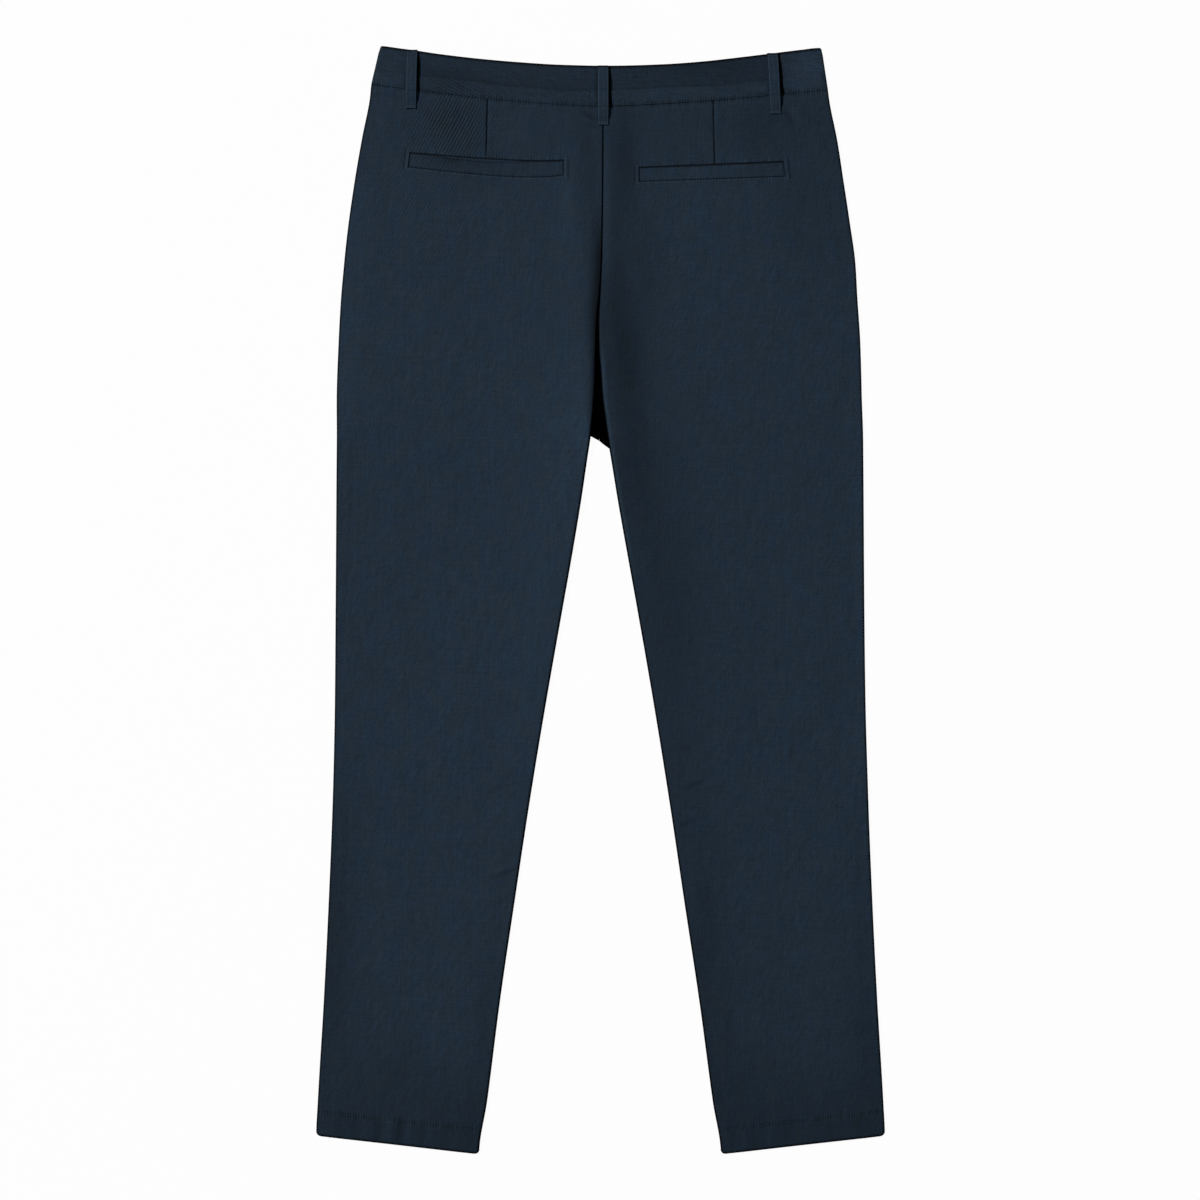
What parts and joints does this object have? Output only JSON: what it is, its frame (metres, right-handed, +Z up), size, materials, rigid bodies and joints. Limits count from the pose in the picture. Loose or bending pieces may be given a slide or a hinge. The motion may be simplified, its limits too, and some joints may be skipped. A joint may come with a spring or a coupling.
{
  "type": "chino trousers",
  "caption": "Slim ankle-length chino trousers in cotton twill, laid flat on their front with the back up: waistband, belt loops, darts, welt pockets and turned hems.",
  "frame": {"origin": "on the surface the trousers lie on, in the middle of their outline", "axes": "+Y from the hems to the waist, +Z up from the front of the garment to its back, +X to the right as seen from above"},
  "size_m": [0.5142, 1.0018, 0.0123],
  "materials": {
    "twill": "navy cotton twill, matt, with fine diagonal ribs",
    "zip_tape": "woven navy tape with a closed chain",
    "zip_metal": "antique brass, satin",
    "button": "dark navy resin, satin"
  },
  "bodies": {
    "root": {"back_left": "twill", "back_right": "twill", "front_left": "twill", "front_right": "twill", "waistband": "twill", "loop_back_left": "twill", "loop_back_centre": "twill", "loop_back_right": "twill", "loop_front_left": "twill", "loop_front_right": "twill", "welt_left": "twill", "welt_right": "twill", "pocket_facing_left": "twill", "pocket_facing_right": "twill", "zip_tape": "zip_tape", "zip_slider": "zip_metal", "waist_button": "button"}
  },
  "joints": []
}
